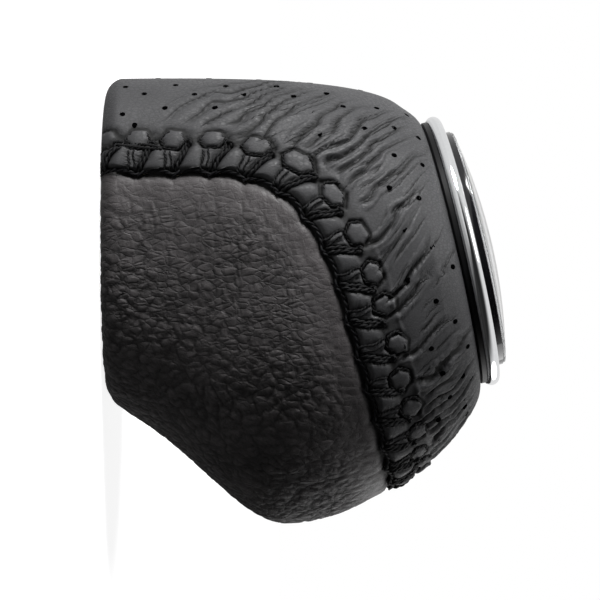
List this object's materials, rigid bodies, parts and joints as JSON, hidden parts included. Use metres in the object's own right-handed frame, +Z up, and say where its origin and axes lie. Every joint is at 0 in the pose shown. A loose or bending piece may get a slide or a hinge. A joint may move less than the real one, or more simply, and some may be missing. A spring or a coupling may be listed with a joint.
{
  "type": "gear shift knob",
  "caption": "Leather-wrapped gear shift knob with a laced seam, a forward finger bulge and a tilted chrome-ringed cap, on a threaded lever socket.",
  "frame": {"origin": "on the lever's axis, at the mouth of the threaded lever socket, which lies in the plane of the base", "axes": "+Z up the lever to the cap, +Y to the front, the side of the finger bulge, +X to the knob's right side seen from the rear"},
  "size_m": [0.0548, 0.0661, 0.0593],
  "materials": {
    "perforated_leather": "black leather with small holes, gathered at the seam",
    "front_leather": "black pebbled leather",
    "lacing_thread": "waxed black thread",
    "rear_edge_thread": "waxed black thread",
    "front_edge_thread": "waxed black thread",
    "foam_padding": "soft foam",
    "core": "moulded plastic",
    "threaded_insert": "turned steel",
    "ballast_weight": "plain cast metal",
    "weight_screws": "zinc plated",
    "base_cover": "moulded plastic",
    "base_screws": "zinc plated",
    "cap_carrier": "satin black plastic",
    "chrome_ring": "polished",
    "adhesive_ring": "double-sided tape",
    "pattern_disc": "gloss black plastic",
    "dome_lens": "clear plastic, polished"
  },
  "bodies": {
    "root": {"perforated_leather": "perforated_leather", "front_leather": "front_leather", "lacing_thread": "lacing_thread", "rear_edge_thread": "rear_edge_thread", "front_edge_thread": "front_edge_thread", "foam_padding": "foam_padding", "core": "core", "threaded_insert": "threaded_insert", "ballast_weight": "ballast_weight", "weight_screws": "weight_screws", "base_cover": "base_cover", "base_screws": "base_screws", "cap_carrier": "cap_carrier", "chrome_ring": "chrome_ring", "adhesive_ring": "adhesive_ring", "pattern_disc": "pattern_disc", "dome_lens": "dome_lens"}
  },
  "joints": []
}
